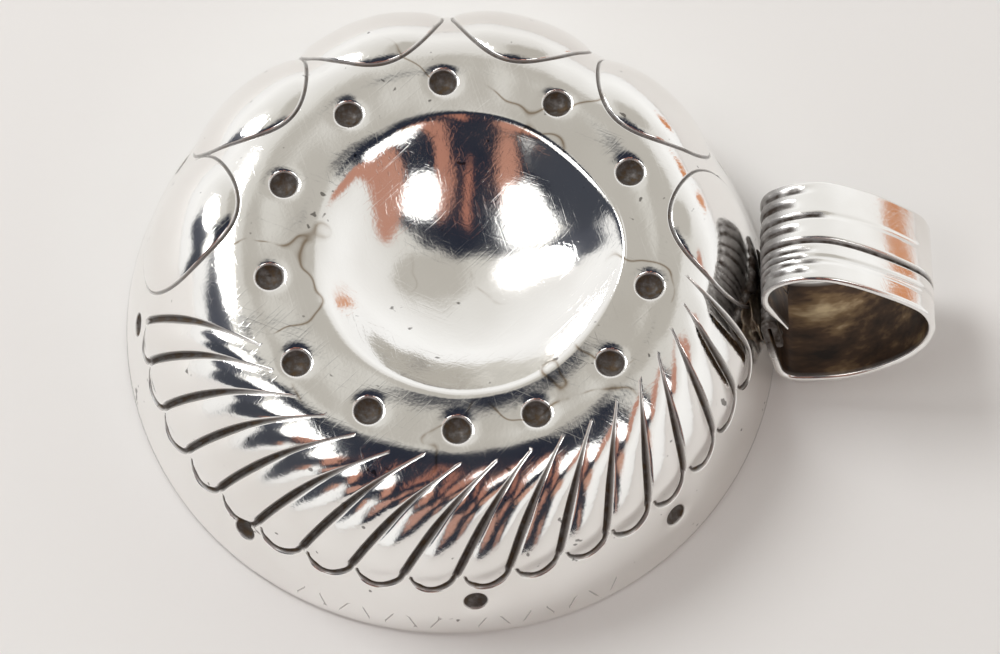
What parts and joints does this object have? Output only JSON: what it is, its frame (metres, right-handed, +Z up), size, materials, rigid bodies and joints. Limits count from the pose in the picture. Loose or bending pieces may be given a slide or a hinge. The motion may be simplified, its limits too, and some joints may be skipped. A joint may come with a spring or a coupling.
{
  "type": "wine taster cup",
  "caption": "Shallow silver wine-tasting cup, lying mouth-down, with a domed centre, punched pearls, oval bosses, slanting flutes and a strap finger ring.",
  "frame": {"origin": "centre of the cup's round rim, in the plane of the rim that it lies on", "axes": "+Z up through the cup's base as it lies mouth-down, +X out through the middle of the finger ring, +Y across the ring to its low edge"},
  "size_m": [0.1033, 0.085, 0.0252],
  "materials": {
    "polished_silver": "old polished silver, tarnished brown-black in the chased lines and punched pits",
    "worn_silver": "worn polished silver outside, brown tarnish inside the ring",
    "silver_solder": "dull, slightly brown silver solder"
  },
  "bodies": {
    "root": {"bowl": "polished_silver", "ring_handle": "worn_silver", "handle_solder": "silver_solder"}
  },
  "joints": []
}
